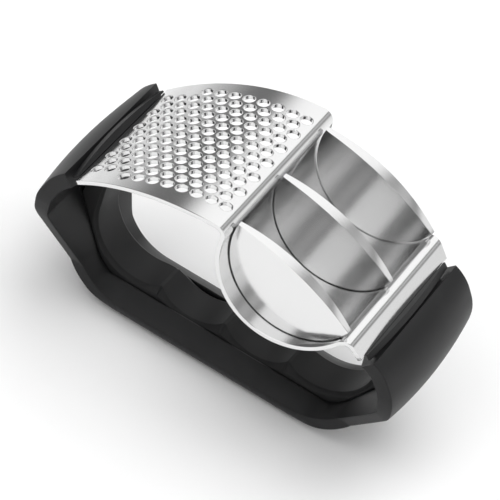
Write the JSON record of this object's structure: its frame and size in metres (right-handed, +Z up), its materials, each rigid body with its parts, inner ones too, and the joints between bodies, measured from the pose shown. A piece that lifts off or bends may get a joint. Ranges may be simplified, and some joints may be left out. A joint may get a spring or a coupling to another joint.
{
  "type": "garlic press",
  "caption": "Rigid rocking garlic press: a perforated steel rocker beside a bladed trough, both held in a rounded moulded handle with finger grooves.",
  "frame": {"origin": "middle of the flat under the palm grip, below the centre of the press", "axes": "+Z up from the palm to the plate, +X along the press from the perforated end to the trough end, +Y from the front to the back"},
  "size_m": [0.107, 0.0574, 0.0617],
  "materials": {
    "polished_steel": "bright polished stainless steel with faint polishing lines",
    "blade_steel": "satin ground stainless steel",
    "black_handle": "semi-matt moulded black plastic",
    "black_grip": "semi-matt moulded black plastic, slightly softer"
  },
  "bodies": {
    "root": {"pressed_plate": "polished_steel", "blade_front": "blade_steel", "blade_middle": "blade_steel", "blade_rear": "blade_steel", "handle_bow": "black_handle", "finger_grip": "black_grip", "clamp_strip_left": "black_handle", "clamp_strip_right": "black_handle"}
  },
  "joints": []
}
